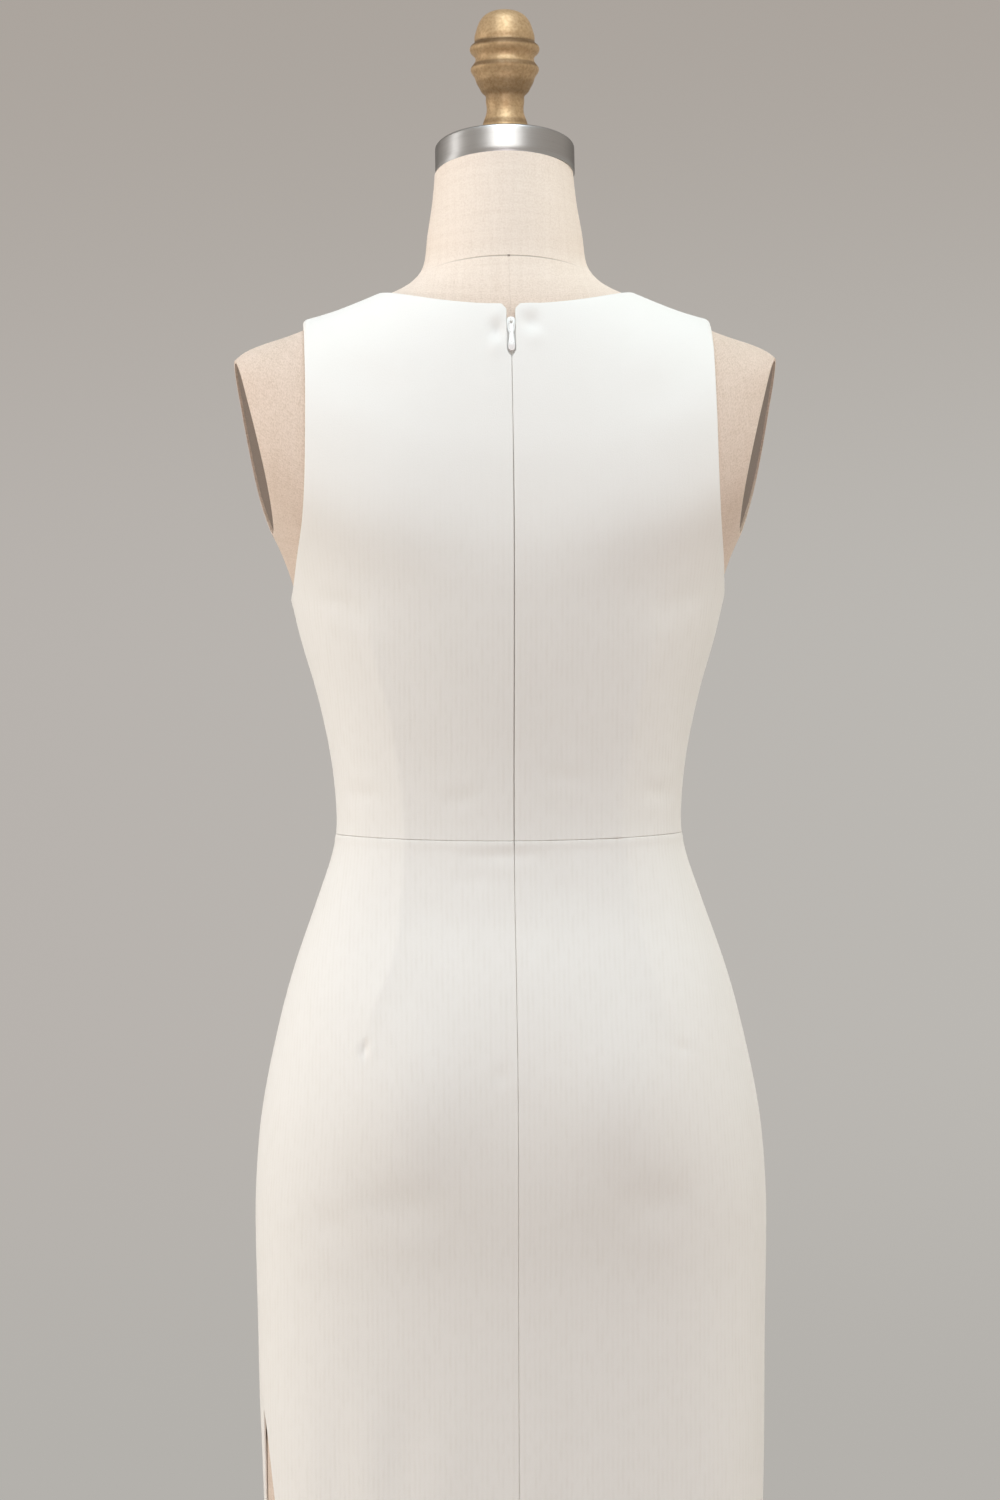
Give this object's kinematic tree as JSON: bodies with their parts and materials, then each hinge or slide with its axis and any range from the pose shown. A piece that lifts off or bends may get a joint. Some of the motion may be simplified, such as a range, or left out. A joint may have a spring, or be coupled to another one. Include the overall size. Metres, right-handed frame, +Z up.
{
  "type": "mermaid dress on a limbless dress form",
  "caption": "Sleeveless fitted gown with a waist seam, centre-back zip, side slit and flared hem, worn by a limbless dress form on a pole stand.",
  "frame": {"origin": "on the floor, at the middle of the underside of the stand's round base", "axes": "+Z up along the stand's pole; the dress faces -Y and its zip is at +Y; +X is the wearer's left, the side with the slit"},
  "size_m": [0.6004, 0.4644, 1.6369],
  "materials": {
    "crepe": "matt ivory crepe with a fine vertical rib",
    "linen": "plain woven natural linen",
    "arm_cloth": "plain brown cotton",
    "zip_cloth": "woven polyester tape",
    "enamel": "white enamel",
    "neck_steel": "brushed round the rim",
    "pole_steel": "satin",
    "gilt_wood": "satin gold paint",
    "black_iron": "satin dark paint"
  },
  "bodies": {
    "dress_and_form": {"bodice_front": "crepe", "bodice_back_left": "crepe", "bodice_back_right": "crepe", "skirt_front": "crepe", "skirt_back_left": "crepe", "skirt_back_right": "crepe", "zip_tape": "zip_cloth", "zip_slider": "enamel", "form_torso": "linen", "arm_plate_left": "arm_cloth", "arm_plate_right": "arm_cloth", "neck_cap": "neck_steel", "neck_finial": "gilt_wood", "stand_pole": "pole_steel", "stand_base": "black_iron"},
    "pull_tab": {"zip_pull": "enamel"}
  },
  "joints": [
    {"name": "pull_tab_swing", "type": "hinge", "parent": "dress_and_form", "child": "pull_tab", "pos_m": [0, 0.0767, 1.40544], "axis": [1, 0, 0], "range_deg": [0, 150]}
  ]
}
